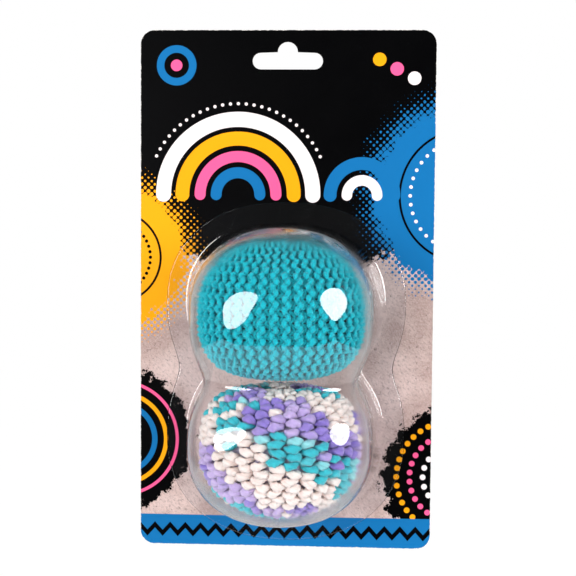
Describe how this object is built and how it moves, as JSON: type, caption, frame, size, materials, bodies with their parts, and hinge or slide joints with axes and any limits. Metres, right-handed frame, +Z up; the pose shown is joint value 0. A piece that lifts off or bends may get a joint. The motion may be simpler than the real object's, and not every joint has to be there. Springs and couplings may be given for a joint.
{
  "type": "carded pair of footbags",
  "caption": "Pellet-filled knitted footbags, teal and multicoloured, in a clear domed blister sealed to a hanging card.",
  "frame": {"origin": "centre of the card's hang slot, midway through the board", "axes": "+Z up with the pack hanging, the pack faces -Y, +X to the right seen from the front"},
  "size_m": [0.102, 0.0558, 0.18],
  "materials": {
    "card": "printed board with a satin varnish",
    "blister": "clear thermoformed sheet",
    "teal_yarn": "garter-knit acrylic yarn",
    "mixed_yarn": "garter-knit acrylic yarn dyed in short lengths",
    "liner": "thin woven nylon",
    "pellets": "natural plastic pellets"
  },
  "bodies": {
    "card": {"backing_card": "card"},
    "blister": {"blister_shell": "blister"},
    "upper_footbag": {"upper_knitted_cover": "teal_yarn", "upper_top_draw_yarn": "teal_yarn", "upper_foot_draw_yarn": "teal_yarn", "upper_closing_knot": "teal_yarn", "upper_liner": "liner", "upper_pellet_fill": "pellets"},
    "lower_footbag": {"lower_knitted_cover": "mixed_yarn", "lower_top_draw_yarn": "mixed_yarn", "lower_foot_draw_yarn": "mixed_yarn", "lower_closing_knot": "mixed_yarn", "lower_liner": "liner", "lower_pellet_fill": "pellets"}
  },
  "joints": [
    {"name": "blister_lift_off", "type": "slide", "parent": "card", "child": "blister", "axis": [0, -1, 0], "range_m": [0, 0.13]},
    {"name": "upper_footbag_lift_out", "type": "slide", "parent": "card", "child": "upper_footbag", "axis": [0, -1, 0], "range_m": [0, 0.06]},
    {"name": "lower_footbag_lift_out", "type": "slide", "parent": "card", "child": "lower_footbag", "axis": [0, -1, 0], "range_m": [0, 0.06]}
  ],
  "couplings": [
    {"joint": "upper_footbag_lift_out", "follows": "blister_lift_off", "ratio": 0.46},
    {"joint": "lower_footbag_lift_out", "follows": "blister_lift_off", "ratio": 0.46}
  ]
}
